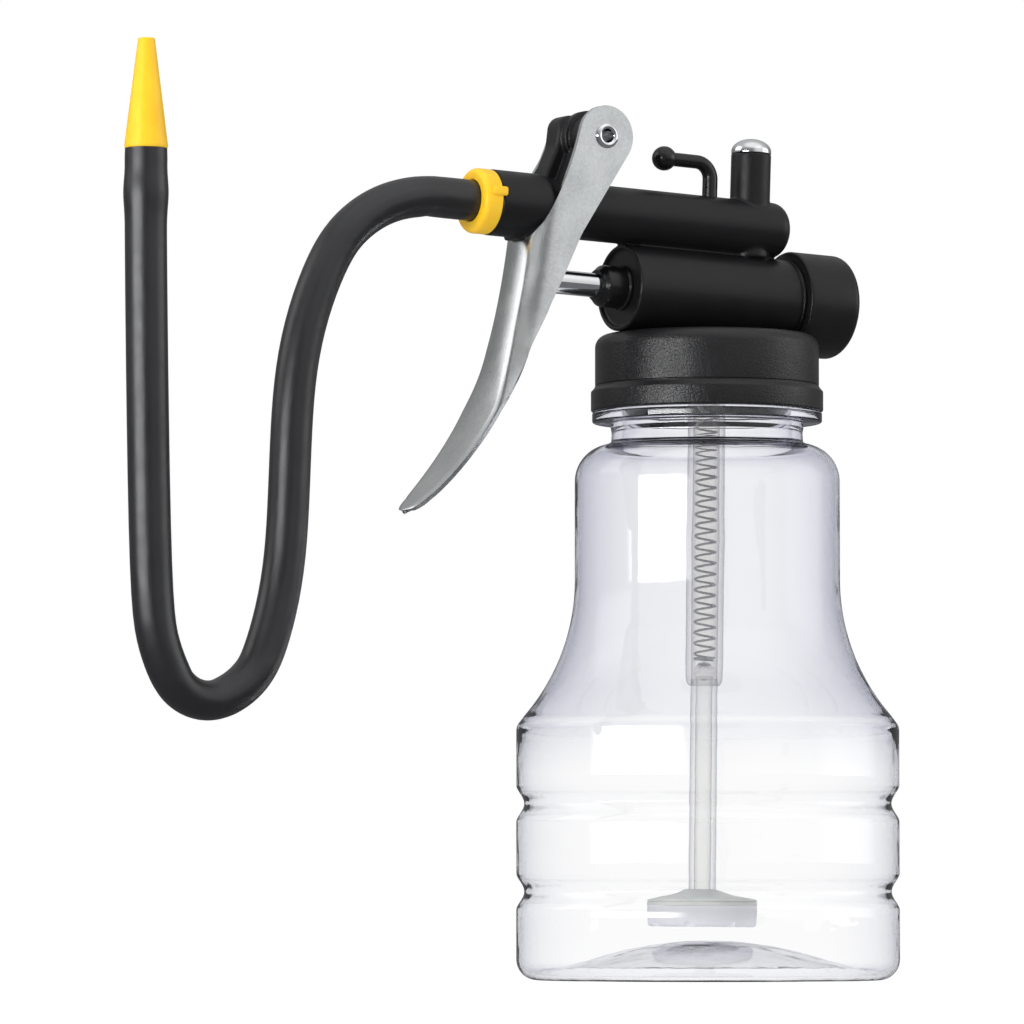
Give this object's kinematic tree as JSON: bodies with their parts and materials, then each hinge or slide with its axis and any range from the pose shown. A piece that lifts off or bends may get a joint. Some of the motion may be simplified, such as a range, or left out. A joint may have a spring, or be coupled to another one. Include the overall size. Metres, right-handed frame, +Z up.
{
  "type": "fluid transfer pump",
  "caption": "Hand oil can: clear ribbed bottle with screw lid, squeeze-lever piston pump head, dip tube with strainer, and a curved flexible hose with a tapered nozzle.",
  "frame": {"origin": "centre of the bottle's base, on the surface it stands on", "axes": "+Z up along the bottle's axis, -X towards the lever and the hose, +X towards the pump's rear cap"},
  "size_m": [0.2033, 0.092, 0.2173],
  "materials": {
    "clear_pet": "clear blown plastic, glossy",
    "black_plastic": "satin, fine grain",
    "black_rubber": "satin",
    "grey_rubber": "matt",
    "zinc_sheet": "bright zinc plate, fine grain",
    "chrome_steel": "polished",
    "brass": "turned",
    "yellow_plastic": "moulded, soft gloss",
    "clear_tube": "clear extruded plastic",
    "milky_plastic": "translucent, soft gloss",
    "grey_plastic": "satin",
    "grey_nylon": "satin"
  },
  "bodies": {
    "bottle": {"bottle": "clear_pet"},
    "gasket": {"lid_gasket": "grey_rubber"},
    "head": {"lid": "black_plastic", "pump_body": "black_plastic", "lid_nut": "black_plastic", "nut_gasket": "black_rubber", "vent_valve": "black_rubber", "rear_cap": "black_plastic", "rear_cap_seal": "black_rubber", "gland_nut": "black_plastic", "rod_seal": "black_rubber", "return_spring": "chrome_steel", "pivot_washers": "zinc_sheet", "outlet_spring": "chrome_steel", "valve_plug": "chrome_steel", "plug_seal": "black_rubber", "hose_hook": "black_plastic", "suction_sleeve": "clear_tube", "suction_spring": "chrome_steel", "suction_tube": "clear_tube", "strainer_cap": "grey_plastic", "strainer_cup": "milky_plastic", "strainer_mesh": "zinc_sheet", "hose_collar": "yellow_plastic"},
    "rod": {"piston_rod": "chrome_steel", "piston": "grey_nylon", "piston_seal": "black_rubber", "piston_nut": "zinc_sheet"},
    "lever": {"lever": "zinc_sheet", "pivot_rivet": "chrome_steel"},
    "outlet_ball": {"outlet_ball": "chrome_steel"},
    "suction_ball": {"suction_ball": "chrome_steel"},
    "hose": {"hose": "black_rubber", "hose_barb": "brass", "barb_seal": "black_rubber", "nozzle": "yellow_plastic"}
  },
  "joints": [
    {"name": "lid_lift", "type": "slide", "parent": "bottle", "child": "gasket", "axis": [0, 0, 1], "range_m": [0, 0.0061]},
    {"name": "lid_turn", "type": "hinge", "parent": "gasket", "child": "head", "pos_m": [0, 0, 0.1452], "axis": [0, 0, 1], "range_deg": [0, 540]},
    {"name": "lever_squeeze", "type": "hinge", "parent": "head", "child": "lever", "pos_m": [-0.0337, 0, 0.2007], "axis": [0, -1, 0], "range_deg": [0, 25]},
    {"name": "rod_slide", "type": "slide", "parent": "head", "child": "rod", "axis": [0.9994, 0, -0.0349], "range_m": [0, 0.0154], "deforming": ["return_spring"]},
    {"name": "outlet_ball_lift", "type": "slide", "parent": "head", "child": "outlet_ball", "axis": [0.0349, 0, 0.9994], "range_m": [0, 0.002], "deforming": ["outlet_spring"]},
    {"name": "suction_ball_lift", "type": "slide", "parent": "head", "child": "suction_ball", "axis": [0.0131, 0, 0.9999], "range_m": [0, 0.002], "deforming": ["suction_spring"]},
    {"name": "hose_swivel", "type": "hinge", "parent": "head", "child": "hose", "pos_m": [-0.05436, 0, 0.18396], "axis": [0.9994, 0, -0.0349], "range_deg": [-90, 90]}
  ],
  "couplings": [
    {"joint": "lid_lift", "follows": "lid_turn", "m_per_rad": 0.00063662},
    {"joint": "rod_slide", "follows": "lever_squeeze", "m_per_rad": 0.0351}
  ]
}
